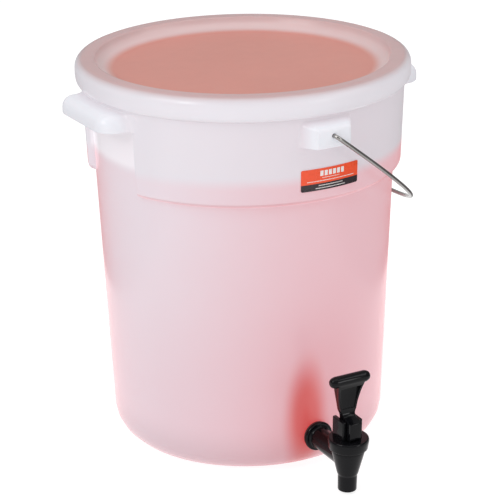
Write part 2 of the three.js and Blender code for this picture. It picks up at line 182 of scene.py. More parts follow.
# ---- colours, linear -----------------------------------------------------------------------
# the _GLOW colours are emission, a painted glow standing in for light that passes through the translucent
# wall and the drink
DRY = (0.44, 0.425, 0.455)
# painted shade: the dry wall darker in the band above and below the tap, where less lamp light falls
DRY_TAP_BAND_SHADE = (0.40, 0.355, 0.385)
DRY_GLOW = (0.32, 0.302, 0.320)
# painted shade in the crease just under the collar's step
LIP_PAINTED_SHADE = (0.90, 0.80, 0.80)
# painted light: extra glow that fills the shade under the grips
UNDER_GRIP_GLOW = (0.455, 0.425, 0.44)
THICK = (0.45, 0.45, 0.48)
THICK_GLOW = (0.325, 0.325, 0.345)
WET = (0.20, 0.575, 0.625)
# painted shade: the wet wall darker and redder in that band
WET_TAP_BAND_SHADE = (0.19, 0.385, 0.425)
# painted shadow of the tap: the wall's colour there
WET_IN_TAP_SHADOW = (0.14, 0.15, 0.14)
WET_GLOW = (0.59, 0.125, 0.13)
# painted shadow of the tap: its deep red glow
WET_IN_TAP_SHADOW_GLOW = (0.56, 0.02, 0.02)
LID_DISC_COLOUR = (0.59, 0.235, 0.19)
LID_WALL_COLOUR = (0.66, 0.49, 0.49)
LID_RIM_COLOUR = (0.53, 0.355, 0.355)
BLACK = (0.004, 0.004, 0.005)
# painted shade near the floor, where the table beneath is in shadow
HEEL_PAINTED_SHADE = 0.80
# darker and pinker towards the bottom
LOW_DARKENING = (0.97, 0.86, 0.87)
LABEL_FIELD = (0.80, 0.085, 0.030)
LABEL_STRIP = (0.030, 0.022, 0.026)
LABEL_PRINT = (0.78, 0.74, 0.72)

# ---- where the colours change, m above the underside (Z) or from the axis (RADIUS) -----------
LEVEL_Z = (0.3045, 0.3185)
LEVEL_WOBBLE = 0.006
# heights of the painted shade near the floor
HEEL_Z = (0.0, 0.055)
# heights over which the wall turns darker and pinker towards the bottom
LOW_DARKENING_Z = (0.03, 0.29)
# where the painted shade of the collar's crease lies
LIP_Z = (0.2840, 0.2885)
LIP_RADIUS = (0.1490, 0.1520)
THICK_RADIUS = (0.1600, 0.1690)
RECESS_RADIUS = (0.1540, 0.1515)
UNDER_GRIP_Z = (0.300, 0.312)
# painted shadow of the tap on the wall beside it: its centre, stretch and reach
TAP_SHADOW_SPOT = {"centre": (-0.0115, -0.142, 0.057), "stretch": (1.6, 0.6, 0.55), "reach": 0.045}
# painted shade band: how far it reaches either side of the tap
TAP_BAND_SHADE_ANGLE = 1.7        # radians either side of the tap
LID_STOPS = [
    (0.1260, LID_DISC_COLOUR),
    (0.1385, LID_WALL_COLOUR),
    (0.1425, LID_WALL_COLOUR),
    (0.1470, LID_RIM_COLOUR),
    (0.1565, LID_RIM_COLOUR),
    (0.1650, DRY),
]
# where the lid's skirt and outer edge take the painted glow
LID_SIDE_Z = (0.3905, 0.3820)
LID_SIDE_RADIUS = (0.1545, 0.1650)
LID_EDGE_RADIUS = (0.1590, 0.1652)
LABEL_SPLIT_Z = (0.30425, 0.30435)
LABEL_ROWS = [
    # heights, ends along X, pitch, how much of the pitch is printed
    ((0.3114, 0.3166), (-0.0070, 0.0209), 0.0023, 0.72),
    ((0.3092, 0.3098), (-0.0040, 0.0150), 0.0006, 0.75),
    ((0.3064, 0.3071), (-0.0200, 0.0320), 0.0008, 0.80),
    ((0.3018, 0.3026), (-0.0080, 0.0190), 0.0007, 0.75),
    ((0.2992, 0.3000), (-0.0110, 0.0220), 0.0007, 0.75),
]

joints = {joint["name"]: joint for joint in frame["joints"]}


# ---- small geometry kit -------------------------------------------------------------------
def smoothstep(low, high, value):
    t = np.clip((value - low) / (high - low), 0.0, 1.0)
    return t * t * (3.0 - 2.0 * t)


def unit(vector):
    length = np.linalg.norm(vector)
    return vector / length if length > 1e-12 else vector


def rounded(points, cuts, arc_steps=5, fill=None):
    """Points along a polyline whose corner k is rounded by an arc that starts at most cuts[k] before it.

    Every section made with the same arguments has the same number of points, so sections loft.
    fill[k] is how many steps the straight stretch after point k is divided into."""
    points = [np.array(p, float) for p in points]
    count = len(points)
    fill = fill or [1] * (count - 1)
    starts, ends = [points[0]], [points[0]]
    out = []
    for k in range(1, count - 1):
        before, here, after = points[k - 1], points[k], points[k + 1]
        into, away = unit(here - before), unit(after - here)
        cut = min(cuts[k], 0.6 * np.linalg.norm(here - before), 0.6 * np.linalg.norm(after - here))
        starts.append(here - into * cut)
        ends.append(here + away * cut)
    starts.append(points[-1])
    ends.append(points[-1])
    for k in range(count):
        if 0 < k < count - 1:
            into, away = unit(points[k] - points[k - 1]), unit(points[k + 1] - points[k])
            weight = math.sqrt(max(0.0, (1.0 + float(into @ away)) / 2.0))
            for t in np.linspace(0, 1, arc_steps + 1):
                share = np.array([(1 - t) ** 2, 2 * weight * t * (1 - t), t * t])
                mix = share[0] * starts[k] + share[1] * points[k] + share[2] * ends[k]
                out.append(mix / share.sum())
        else:
            out.append(points[k])
        if k < count - 1:
            for step in range(1, fill[k]):
                out.append(ends[k] + (starts[k + 1] - ends[k]) * step / fill[k])
    return np.array(out)


def new_object(name, vertices, faces):
    mesh = bpy.data.meshes.new(name)
    mesh.from_pydata([tuple(v) for v in vertices], [], faces)
    mesh.validate()
    obj = bpy.data.objects.new(name, mesh)
    bpy.context.scene.collection.objects.link(obj)
    return obj


def outward(obj):
    """Makes the faces of a closed mesh point out."""
    work = bmesh.new()
    work.from_mesh(obj.data)
    bmesh.ops.remove_doubles(work, verts=work.verts, dist=1e-6)
    bmesh.ops.recalc_face_normals(work, faces=work.faces)
    work.to_mesh(obj.data)
    work.free()
    return obj


def smooth(obj, angle):
    obj.data.polygons.foreach_set("use_smooth", [True] * len(obj.data.polygons))
    obj.data.set_sharp_from_angle(angle=math.radians(angle))
    return obj


def lofted(name, sections, azimuths):
    """A closed turned mesh: sections[i] is the (radius, z) outline at azimuths[i], axis to axis."""
    sections = np.array(sections)
    columns, rows = sections.shape[:2]
    angle = np.radians(np.array(azimuths))[:, None]
    radius, height = sections[:, 1:-1, 0], sections[:, 1:-1, 1]
    around = np.stack([radius * np.cos(angle), radius * np.sin(angle), height], 2)
    inner = rows - 2
    vertices = [tuple(v * MM) for v in around.reshape(-1, 3)]
    first, last = len(vertices), len(vertices) + 1
    vertices.append((0.0, 0.0, sections[0, 0, 1] * MM))
    vertices.append((0.0, 0.0, sections[0, -1, 1] * MM))
    faces = []
    for i in range(columns):
        a, b = i * inner, ((i + 1) % columns) * inner
        faces.append((first, b, a))
        for j in range(inner - 1):
            faces.append((a + j, b + j, b + j + 1, a + j + 1))
        faces.append((last, a + inner - 1, b + inner - 1))
    return outward(new_object(name, vertices, faces))


def turned(name, points, cuts=None, segments=96, arc_steps=5):
    """A solid of revolution about Z from a (radius, z) outline that starts and ends on the axis."""
    outline = rounded(points, cuts or [0.4] * len(points), arc_steps)
    return lofted(name, [outline] * segments, [i * 360.0 / segments for i in range(segments)])


def prism(name, outline, axis, low, high):
    """A flat outline given thickness along an axis: x keeps (y, z), y keeps (x, z), z keeps (x, y)."""
    place = {
        "x": lambda p, d: (d, p[0], p[1]),
        "y": lambda p, d: (p[0], d, p[1]),
        "z": lambda p, d: (p[0], p[1], d),
    }[axis]
    count = len(outline)
    vertices = [Vector(place(p, d)) * MM for d in (low, high) for p in outline]
    faces = [tuple(range(count)), tuple(range(2 * count - 1, count - 1, -1))]
    faces += [(i, (i + 1) % count, count + (i + 1) % count, count + i) for i in range(count)]
    return outward(new_object(name, vertices, faces))


def moved(obj, matrix):
    obj.data.transform(matrix)
    return obj


def applied(obj):
    """The object's mesh with its modifiers applied."""
    graph = bpy.context.evaluated_depsgraph_get()
    mesh = bpy.data.meshes.new_from_object(obj.evaluated_get(graph))
    obj.modifiers.clear()
    obj.data = mesh
    return obj


def boolean(obj, others, operation):
    for other in others:
        step = obj.modifiers.new("cut", "BOOLEAN")
        step.object = other
        step.operation = operation
        step.solver = "EXACT"
    applied(obj)
    for other in others:
        bpy.data.objects.remove(other)
    return obj


def bevelled(obj, width):
    """The object with its sharp edges rounded."""
    step = obj.modifiers.new("edge", "BEVEL")
    step.width = width * MM
    step.segments = 3
    step.limit_method = "ANGLE"
    step.angle_limit = math.radians(32.0)
    step.use_clamp_overlap = True
    step.harden_normals = False
    return applied(obj)


def arc(centre, radius, start, end, steps):
    angles = np.radians(np.linspace(start, end, steps + 1))
    return [(centre[0] + radius * math.cos(a), centre[1] + radius * math.sin(a)) for a in angles]


# ---- pail ---------------------------------------------------------------------------------
def body_radius(z):
    return FOOT_RADIUS + (z - FOOT_Z) * (BODY_TOP_RADIUS - FOOT_RADIUS) / (BODY_TOP_Z - FOOT_Z)


def collar_radius(z):
    rise = min(1.0, (z - COLLAR_BOTTOM[1]) / (COLLAR_TOP[1] - COLLAR_BOTTOM[1]))
    return COLLAR_BOTTOM[0] + rise * (COLLAR_TOP[0] - COLLAR_BOTTOM[0])


def from_axis(azimuth, first):
    """Degrees between an azimuth and the nearer of two opposite directions, the first one given."""
    return abs((azimuth - first + 90.0) % 180.0 - 90.0)


def grip_plan():
    """Polar outline of half a grip seen from above: degrees off its middle, and reach."""
    root, far = math.radians(18.4), math.radians(25.0)
    wall = collar_radius(GRIP_BOTTOM)
    corners = [
        (GRIP_REACH, 0.0),
        (GRIP_REACH, GRIP_HALF),
        (wall * math.cos(root), GRIP_HALF),
        (wall * math.cos(far), wall * math.sin(far)),
    ]
    plan = rounded(corners, [0.0, GRIP_CORNER, 8.0, 0.0], 12, [6, 3, 3])
    return np.degrees(np.arctan2(plan[:, 1], plan[:, 0])), np.hypot(plan[:, 0], plan[:, 1])


GRIP_PLAN = grip_plan()


def ear_reach(off):
    """How far out the bail's ear is, on a ray that many degrees off its middle."""
    slope = math.tan(math.radians(off))
    face = EAR_FACE / math.cos(math.radians(off))
    depth = EAR_FACE - math.sqrt(COLLAR_TOP[0] ** 2 - EAR_ROOT_HALF**2)
    share = (EAR_FACE * slope - EAR_FACE_HALF) / (EAR_ROOT_HALF - EAR_FACE_HALF + depth * slope)
    side = (EAR_FACE - depth * share) / math.cos(math.radians(off))
    soft = 1.6
    blend = max(0.0, soft - abs(face - side)) / soft
    return min(face, side) - blend * blend * soft / 4.0


def grip_top(across):
    """Height of the grip's top, rounded down towards its ends."""
    round_off = 9.0
    over = min(round_off, max(0.0, across - (GRIP_HALF - round_off)))
    return GRIP_TOP - round_off + math.sqrt(round_off**2 - over**2)


def side_loop(azimuth):
    """Seven corners of the pail's outside at the height of its grips and ears."""
    plain = [(collar_radius(z), z) for z in (341.0, 345.0, 349.0, 353.0, 358.0, 363.0, 366.5)]
    grip_off, ear_off = from_axis(azimuth, 0.0), from_axis(azimuth, 90.0)
    wall = collar_radius(GRIP_BOTTOM)
    if grip_off < GRIP_SPAN:
        reach = max(float(np.interp(grip_off, *GRIP_PLAN)), wall + 0.05)
        shut = float(smoothstep(*GRIP_SHUT, grip_off))
        ceiling = GRIP_HOLLOW_TOP + (GRIP_BOTTOM + 0.8 - GRIP_HOLLOW_TOP) * shut
        across = reach * math.sin(math.radians(grip_off))
        root = body_radius(ceiling) + (wall - body_radius(ceiling)) * (1.0 - recessed(azimuth))
        lip = max(reach - 4.0, root + (reach - root) * 0.5)
        top = grip_top(across)
        loop = [
            (root, ceiling),
            (lip, ceiling),
            (lip, GRIP_BOTTOM),
            (reach, GRIP_BOTTOM),
            (reach, max(top, GRIP_BOTTOM + 2.0)),
            (wall + 1.5, GRIP_TOP + 0.4),
            (collar_radius(368.0), 367.6),
        ]
        fade = float(smoothstep(*GRIP_FADE, grip_off))
        return [np.array(g) * (1 - fade) + np.array(p) * fade for g, p in zip(loop, plain)]
    if ear_off < EAR_SPAN:
        reach = max(ear_reach(ear_off), wall + 0.15)
        low, high = EAR_Z
        step = (reach - wall) / 3.0
        loop = [
            (wall, low),
            (wall + step, low),
            (wall + 2 * step, low),
            (reach, low),
            (reach, high - 1.5),
            (reach - 0.35 * (reach - wall), high + 0.6),
            (collar_radius(366.0), 366.5),
        ]
        fade = float(smoothstep(*EAR_FADE, ear_off))
        return [np.array(e) * (1 - fade) + np.array(p) * fade for e, p in zip(loop, plain)]
    return plain


def recessed(azimuth):
    """1 in the two recesses under the grips, 0 elsewhere."""
    return 1.0 - float(smoothstep(*RECESS_EDGE, from_axis(azimuth, 0.0)))


def pail_section(azimuth):
    """Outline of the pail's shell, up its outside and down its inside."""
    inset = recessed(azimuth)
    loop = side_loop(azimuth)
    rim = COLLAR_TOP[0]

    def mix(plain, cut):
        return plain + (cut - plain) * inset

    outer = [
        ((0.0, 0.0), 0.0, 6),
        ((body_radius(0.0), 0.0), 29.5, 26),
        ((body_radius(284.2), 284.2), mix(2.2, 1.0), 1),
        ((mix(COLLAR_BOTTOM[0], body_radius(286.6)), 286.2), mix(4.4, 1.0), 6),
        ((mix(collar_radius(RECESS_FOOT_Z), body_radius(RECESS_FOOT_Z)), RECESS_FOOT_Z), 2.0, 2),
    ]
    cuts = [2.0, 2.0, 1.6, 2.0, 9.5, 2.5, 2.5]
    fills = [5, 3, 2, 3, 6, 2, 1]
    side = [(tuple(p), c, f) for p, c, f in zip(loop, cuts, fills)]
    top = [
        ((rim, 369.0), 0.5, 3),
        ((rim, RIM_Z), 1.4, 1),
        ((rim - WALL, RIM_Z), 1.4, 4),
    ]
    low, high = collar_radius(STEP_RADII_Z) - WALL, rim - WALL
    inner = [
        ((high, 368.5), 1.5, 2),
        ((mix(collar_radius(364.0) - WALL, body_radius(364.0) - WALL), 365.0), 1.5, 8),
        ((mix(low, body_radius(STEP_RADII_Z) - WALL), INNER_STEP[1]), 3.5, 1),
        ((body_radius(INNER_STEP[0]) - WALL, INNER_STEP[0]), 2.5, 14),
        ((body_radius(FLOOR) - WALL, FLOOR), INNER_HEEL, 5),
        ((0.0, FLOOR), 0.0, 1),
    ]
    path = outer + side + top + inner
    points, cuts, fills = zip(*path)
    return rounded(points, cuts, 5, list(fills[:-1]))


def pail_azimuths():
    """Columns every 2 degrees, closer together where the grips end and at the ears."""
    fine = set(np.round(np.arange(0.0, 360.0, 2.0), 3))
    for middle in (0.0, 180.0):
        for side in (-1, 1):
            fine |= set(np.round((middle + side * np.arange(10.8, 22.9, 0.4)) % 360.0, 3))
    for middle in (90.0, 270.0):
        for side in (-1, 1):
            fine |= set(np.round((middle + side * np.arange(4.8, 12.0, 0.4)) % 360.0, 3))
    return sorted(fine)


def cylinder_between(name, start, end, radius):
    start, end = Vector(start), Vector(end)
    length = (end - start).length
    outline = [(0, 0), (radius, 0), (radius, length), (0, length)]
    pin = turned(name, outline, segments=48, arc_steps=1)
    turn = (end - start).to_track_quat("Z", "Y").to_matrix().to_4x4()
    return moved(pin, Matrix.Translation(start * MM) @ turn)


def tap_cut(name, radius, start, end):
    """A cutter along the tap's shank, from start to end measured from the stem."""
    return moved(rod(name, radius, start, end), TAP_PLACE @ ALONG_SHANK)


PIVOT_Z = joints["bail_swing"]["pos_m"][2] / MM


def make_pail():
    azimuths = pail_azimuths()
    pail = lofted("pail_shell", [pail_section(a) for a in azimuths], azimuths)
    holes = [
        cylinder_between("hole", *[(0, side * y, PIVOT_Z) for y in HOLE_ENDS], HOLE_RADIUS)
        for side in (-1, 1)
    ]
    holes.append(tap_cut("tap_hole", TAP_HOLE_RADIUS, TAP_REACH - 12.0, TAP_REACH + 14.0))
    boolean(pail, holes, "DIFFERENCE")
    return smooth(pail, 50.0)


def make_drink():
    """What the pail holds, just inside its wall, with a small rise where it meets the wall."""
    azimuths = pail_azimuths()
    gap = 0.6
    sections = []
    for azimuth in azimuths:
        inset = recessed(azimuth)
        edge = collar_radius(DRINK_Z) - WALL
        edge += (body_radius(DRINK_Z) - WALL - edge) * inset
        low = collar_radius(STEP_RADII_Z) - WALL
        low += (body_radius(STEP_RADII_Z) - WALL - low) * inset
        points = [
            (0.0, FLOOR + gap),
            (body_radius(FLOOR) - WALL - gap, FLOOR + gap),
            (body_radius(INNER_STEP[0]) - WALL - gap, INNER_STEP[0] + gap),
            (low - gap, INNER_STEP[1] + gap),
            (edge - gap, DRINK_Z + 1.2),
            (edge - gap - 3.0, DRINK_Z),
            (0.0, DRINK_Z),
        ]
        cuts = [0, INNER_HEEL, 2.5, 3.5, 0.4, 1.5, 0]
        sections.append(rounded(points, cuts, 4, [4, 14, 1, 3, 1, 6]))
    drink = lofted("drink", sections, azimuths)
    boolean(drink, [tap_cut("nut_room", NUT_ROOM_RADIUS, TAP_REACH, TAP_REACH + 22.0)], "DIFFERENCE")
    return smooth(drink, 50.0)


# ---- lid ----------------------------------------------------------------------------------
def lid_section(azimuth):
    """Outline of the lid, along its underside, round its skirt and back over its top."""
    off = abs((azimuth - TAB_AZIMUTH + 90.0 + 180.0) % 360.0 - 180.0)
    across = LID_RADIUS * math.sin(math.radians(min(off, 90.0)))
    flare = 1.7 * (1.0 - float(smoothstep(TAB_HALF - 3.0, TAB_HALF, across)))
    rim = COLLAR_TOP[0]
    path = [
        ((0.0, LID_DISC - 3.2), 0.0, 6),
        ((LID_INNER - 14.0, LID_DISC - 3.2), 8.0, 1),
        ((LID_INNER - 1.0, LID_DISC + 0.6), 4.0, 1),
        ((LID_INNER + 3.2, LID_TOP - 3.2), 2.0, 3),
        ((LID_RADIUS - 3.2, LID_TOP - 3.2), 4.0, 1),
        ((LID_RADIUS - 3.2, LID_SKIRT + 5.0), 3.0, 1),
        ((rim + 0.8, LID_SKIRT + 1.5), 0.6, 1),
        ((rim + 1.2 + flare * 0.3, LID_SKIRT), 0.5, 1),
        ((LID_RADIUS - 3.6 + flare * 1.7, LID_SKIRT + 0.6), 0.7, 1),
        ((LID_RADIUS - 1.0 + flare * 0.6, LID_SKIRT + 3.2), 1.6, 1),
        ((LID_RADIUS, LID_SKIRT + 8.0), 3.0, 2),
        ((LID_RADIUS - 0.2, LID_TOP), 8.5, 3),
        ((LID_INNER - 0.5, LID_TOP), 1.8, 1),
        ((LID_INNER - 4.0, LID_DISC + 3.4), 4.5, 2),
        ((LID_INNER - 15.0, LID_DISC), 10.0, 12),
        ((0.0, LID_DISC), 0.0, 1),
    ]
    points, cuts, fills = zip(*path)
    return rounded(points, cuts, 6, list(fills[:-1]))


def make_lid():
    azimuths = sorted(
        set(np.round(np.arange(0.0, 360.0, 1.8), 3))
        | set(np.round(TAB_AZIMUTH - 90.0 + 360.0 + np.arange(-5.6, 5.7, 0.4), 3))
    )
    return smooth(lofted("lid_moulding", [lid_section(a) for a in azimuths], azimuths), 50.0)


# ---- bail ---------------------------------------------------------------------------------
def bail_line():
    """Centreline of half the bail, from its tip in the ear to the middle of the bow."""
    elbow = BAIL_SPAN - BAIL_BEND
    line = [(0.0, BAIL_END)]
    line += [(0.0, y) for y in np.linspace(BAIL_END + 2.0, elbow, 6)]
    for turn in np.radians(np.linspace(12, 78, 6)):
        line.append((BAIL_BEND * (1 - math.cos(turn)), elbow + BAIL_BEND * math.sin(turn)))
    start = math.asin((BAIL_BEND / BAIL_DEPTH) ** (BAIL_POWER / 2))
    for angle in np.linspace(start, math.pi / 2, 90):
        depth = BAIL_DEPTH * math.sin(angle) ** (2 / BAIL_POWER)
        across = BAIL_SPAN * max(0.0, math.cos(angle)) ** (2 / BAIL_POWER)
        line.append((depth, across))
    return line


def swept(name, path, radius, sides=20):
    """A round wire along a path, with domed ends."""
    path = [Vector(p) for p in path]
    up = Vector((0, 0, 1))
    vertices, faces, rings = [], [], 0
    for k, here in enumerate(path):
        along = (path[min(k + 1, len(path) - 1)] - path[max(k - 1, 0)]).normalized()
        side = along.cross(up).normalized() if abs(along.dot(up)) < 0.99 else Vector((1, 0, 0))
        lift = side.cross(along).normalized()
        ends = [(0.0, radius)]
        if k == 0:
            ends = [(-0.45 * radius, 0.55 * radius), (-0.25 * radius, 0.86 * radius), (0.0, radius)]
        if k == len(path) - 1:
            ends = [(0.0, radius), (0.25 * radius, 0.86 * radius), (0.45 * radius, 0.55 * radius)]
        for shift, size in ends:
            for i in range(sides):
                turn = 2 * math.pi * i / sides
                spot = here + along * shift + (side * math.cos(turn) + lift * math.sin(turn)) * size
                vertices.append(spot * MM)
            rings += 1
    for r in range(rings - 1):
        for i in range(sides):
            a, b = r * sides, (r + 1) * sides
            faces.append((a + i, a + (i + 1) % sides, b + (i + 1) % sides, b + i))
    faces.append(tuple(range(sides - 1, -1, -1)))
    faces.append(tuple(range((rings - 1) * sides, rings * sides)))
    return outward(new_object(name, vertices, faces))


def make_bail():
    half = bail_line()
    path = [(x, -y, 0.0) for x, y in half] + [(x, y, 0.0) for x, y in half[-2::-1]]
    wire = swept("bail_wire", path, BAIL_WIRE)
    hang = Matrix.Rotation(math.radians(BAIL_DROOP), 4, "Y")
    return smooth(moved(wire, Matrix.Translation((0, 0, PIVOT_Z * MM)) @ hang), 60.0)


# ---- label --------------------------------------------------------------------------------
def make_label():
    """A film wrapped on the collar with rounded corners."""
    low, high = LABEL_Z
    corner, lift, thickness = 1.6, 0.3, 0.45
    radius = collar_radius((low + high) / 2)
    length = math.radians(LABEL_TO - LABEL_FROM) * radius
    ends = corner * (1 - np.cos(np.radians(np.linspace(0, 90, 7))))
    spots = list(ends) + list(np.linspace(corner, length - corner, 26)[1:-1]) + list(length - ends[::-1])
    vertices, faces = [], []
    rows = 7
    for spot in spots:
        over = corner - min(spot, length - spot, corner)
        trim = corner - math.sqrt(max(0.0, corner**2 - over**2))
        angle = math.radians(LABEL_FROM) + spot / radius - math.pi / 2
        column = np.linspace(low + trim, high - trim, rows)
        for skin in (lift, lift + thickness):
            for z in column:
                r = collar_radius(z) + skin
                vertices.append((r * math.cos(angle) * MM, r * math.sin(angle) * MM, z * MM))
    ring = list(range(rows)) + list(range(2 * rows - 1, rows - 1, -1))
    count = len(spots)
    for c in range(count - 1):
        a, b = c * 2 * rows, (c + 1) * 2 * rows
        for i in range(2 * rows):
            j = (i + 1) % (2 * rows)
            faces.append((a + ring[i], a + ring[j], b + ring[j], b + ring[i]))
    faces.append(tuple(ring))
    faces.append(tuple((count - 1) * 2 * rows + i for i in reversed(ring)))
    return smooth(outward(new_object("label_film_piece", vertices, faces)), 40.0)


# ---- tap ----------------------------------------------------------------------------------
DRAFT = math.atan((BODY_TOP_RADIUS - FOOT_RADIUS) / (BODY_TOP_Z - FOOT_Z))
TAP_PLACE = Matrix.Translation((
    0.0,
    -(body_radius(TAP_WALL_Z) + TAP_REACH * math.cos(DRAFT)) * MM,
    (TAP_WALL_Z - TAP_REACH * math.sin(DRAFT)) * MM,
)) @ Matrix.Rotation(DRAFT, 4, "X")
ALONG_SHANK = Matrix.Rotation(math.radians(-90.0), 4, "X")
ACROSS = Matrix.Rotation(math.radians(90.0), 4, "Y")


def rod(name, radius, low, high, segments=64):
    return turned(name, [(0, low), (radius, low), (radius, high), (0, high)], [0.0] * 4, segments, 1)


def block(name, x, y, z):
    return prism(name, [(x[0], y[0]), (x[1], y[0]), (x[1], y[1]), (x[0], y[1])], "z", *z)


def finished(obj, edge):
    """Softened edges, smooth shading, and the tap's own place on the pail."""
    bevelled(obj, edge)
    moved(obj, TAP_PLACE)
    return smooth(outward(obj), 40.0)


def make_tap_body():
    valve = turned("tap_moulding", [
        (0, SPOUT_Z),
        (SPOUT_RADIUS, SPOUT_Z),
        (SPOUT_RADIUS + 0.3, CONE_FOOT[1] - 1.6),
        CONE_FOOT,
        (CONE_TOP_RADIUS, BONNET_Z[0] - 3.0),
        (CONE_TOP_RADIUS, BONNET_Z[0] - 0.5),
        (NECK_RADIUS, BONNET_Z[0] - 0.5),
        (NECK_RADIUS, NECK_TOP),
        (0, NECK_TOP),
    ], [0, 1.0, 1.0, 1.0, 1.0, 0.6, 0.3, 0.6, 0], 96)
    face = TAP_REACH - FLANGE_SETBACK
    flange = turned("flange", [
        (0, face - 3.6), (14.4, face - 3.6), (15.2, face - 1.8), (15.0, face), (0, face),
    ], [0, 0.9, 0.9, 0.5, 0], 96)
    shank = rod("shank", SHANK_RADIUS, 0.0, face)
    thread = rod("thread", THREAD_RADIUS, 0.0, THREAD_END)
    fillet = turned("shank_root", [
        (0, face - 5.6), (SHANK_RADIUS, face - 5.6), (SHANK_RADIUS + 0.5, face - 4.2),
        (SHANK_RADIUS + 1.8, face - 3.5), (0, face - 3.0),
    ], [0, 0.4, 0.8, 0.3, 0], 64)
    joined = [moved(part, ALONG_SHANK) for part in (shank, flange, thread, fillet)]
    boolean(valve, joined, "UNION")
    cuts = [
        moved(rod("bore", BORE_RADIUS, 0.0, THREAD_END + 1.0), ALONG_SHANK),
        rod("chamber", CHAMBER_RADIUS, SEAT_Z, NECK_TOP + 1.0),
        rod("outlet", OUTLET_RADIUS, SPOUT_Z - 1.0, SEAT_Z + 1.0),
    ]
    boolean(valve, cuts, "DIFFERENCE")
    return finished(valve, 0.35)


def make_bonnet():
    low, plate, top = BONNET_Z
    cap = turned("bonnet_moulding", [
        (0, plate),
        (NECK_RADIUS + 0.3, plate),
        (NECK_RADIUS + 0.3, low),
        (BONNET_RADIUS - 1.2, low),
        (BONNET_RADIUS, top - 2.0),
        (BONNET_RADIUS - 0.9, top),
        (0, top),
    ], [0, 0.3, 0.4, 0.9, 1.4, 0.8, 0], 112)
    half, slot, corner = TOWER_HALF, TOWER_SLOT, TOWER_CORNER
    front, back = TOWER_Y
    web, web_top = TOWER_WEB
    tower = prism("tower", [
        (-half, front), (half, front), (half, back - corner),
        (half - corner, back), (corner - half, back), (-half, back - corner),
    ], "z", top - 1.0, TOWER_TOP)
    cuts = [
        block("channel", (-slot, slot), (front - 1.5, web), (top, TOWER_TOP + 2.0)),
        block("back_notch", (-slot, slot), (web - 0.5, back + 2.0), (web_top, TOWER_TOP + 2.0)),
    ]
    boolean(tower, cuts, "DIFFERENCE")
    bevelled(tower, 0.8)
    boolean(cap, [tower], "UNION")
    boolean(cap, [rod("passage", PASSAGE_RADIUS, 0.0, top + 2.0, 32)], "DIFFERENCE")
    return finished(cap, 0.3)


def make_spring():
    """The coil that pushes the stem down, as a wire helix between the stem's flange and the bonnet."""
    low, high = SPRING_Z[0] + SPRING_WIRE / 2, SPRING_Z[1] - SPRING_WIRE / 2
    steps_a_turn = 24
    steps = steps_a_turn * SPRING_TURNS
    path = []
    for k in range(steps + 1):
        turn = 2 * math.pi * k / steps_a_turn
        path.append((
            SPRING_RADIUS * math.cos(turn),
            SPRING_RADIUS * math.sin(turn),
            low + (high - low) * k / steps,
        ))
    coil = swept("spring_coil", path, SPRING_WIRE / 2, 10)
    return smooth(moved(coil, TAP_PLACE), 60.0)


def foot_curve(steps):
    """The lever's foot: it rolls over the bonnet, a gap above it, and lifts the pin evenly."""
    rest = PIVOT - BONNET_Z[2] - GAP
    points = []
    for angle in np.radians(np.linspace(0, LEVER_TILT, steps + 1)):
        reach = rest + FOOT_LIFT * angle
        points.append((
            -reach * math.sin(angle) - FOOT_LIFT * math.cos(angle),
            PIVOT - reach * math.cos(angle) + FOOT_LIFT * math.sin(angle),
        ))
    return points


def make_lever():
    foot = foot_curve(10)
    front = foot[-1][0] - 0.1
    side = prism("lever_moulding", [
        (4.0, BONNET_Z[2] + GAP), *foot, (front, 27.0), (front, 42.2), (front + 0.6, 42.8), (-5.6, 44.2),
        *arc((-5.0, 51.5), 6.2, -82, -5, 14),
        (1.2, 60.0), (-0.6, 71.0), (-3.4, 79.0), (-5.0, 83.6), (-4.4, 87.0),
        (2.0, 89.0), (6.5, 86.0), (7.6, 76.0), (7.6, 48.0), (6.4, 32.0),
    ], "x", -25.0, 25.0)
    plan = prism("lever_plan", [
        (-LEVER_HALF, 20.0), (LEVER_HALF, 20.0), (LEVER_HALF, 46.0),
        (6.9, 48.5), (8.6, 52.0), (14.2, 80.0), (16.0, 90.0),
        (-16.0, 90.0), (-14.2, 80.0), (-8.6, 52.0), (-6.9, 48.5), (-LEVER_HALF, 46.0),
    ], "y", -25.0, 25.0)
    boolean(side, [plan], "INTERSECT")
    pocket = prism("pocket", [(-6.6, 53.5), (6.6, 53.5), (11.7, 77.4), (-11.7, 77.4)], "y", -5.0, 2.3)
    boolean(side, [pocket], "DIFFERENCE")
    bevelled(side, 0.7)
    bar = turned("bar", [
        (0, -BAR_HALF), (BAR_RADIUS * 0.62, 0.6 - BAR_HALF), (BAR_RADIUS, 4.4 - BAR_HALF),
        (BAR_RADIUS, BAR_HALF - 4.4), (BAR_RADIUS * 0.62, BAR_HALF - 0.6), (0, BAR_HALF),
    ], [0, 1.6, 3.2, 3.2, 1.6, 0], 64)
    moved(bar, Matrix.Translation((0, BAR_Y * MM, BAR_Z * MM)) @ ACROSS)
    boolean(side, [bar], "UNION")
    pin_hole = rod("pin_hole", PIN_HOLE_RADIUS, -20.0, 20.0, 32)
    cuts = [
        block("eye_slot", (-EYE_SLOT_HALF, EYE_SLOT_HALF), (-9.5, 9.5), (20.0, PIVOT + 6.2)),
        moved(pin_hole, Matrix.Translation((0, 0, PIVOT * MM)) @ ACROSS),
    ]
    boolean(side, cuts, "DIFFERENCE")
    return finished(side, 0.12)


# ---- materials ----------------------------------------------------------------------------
def new_node(tree, kind, **values):
    node = tree.nodes.new(kind)
    for key, value in values.items():
        setattr(node, key, value)
    return node


def material(name):
    """A new material, with its node tree and its shader."""
    made = bpy.data.materials.new(name)
    made.use_nodes = True
    return made, made.node_tree, made.node_tree.nodes["Principled BSDF"]


def set_inputs(node, **values):
    for key, value in values.items():
        node.inputs[key.replace("_", " ")].default_value = value
    return node


def object_point(tree):
    """The point being shaded, in the object's own coordinates."""
    return new_node(tree, "ShaderNodeTexCoord").outputs["Object"]


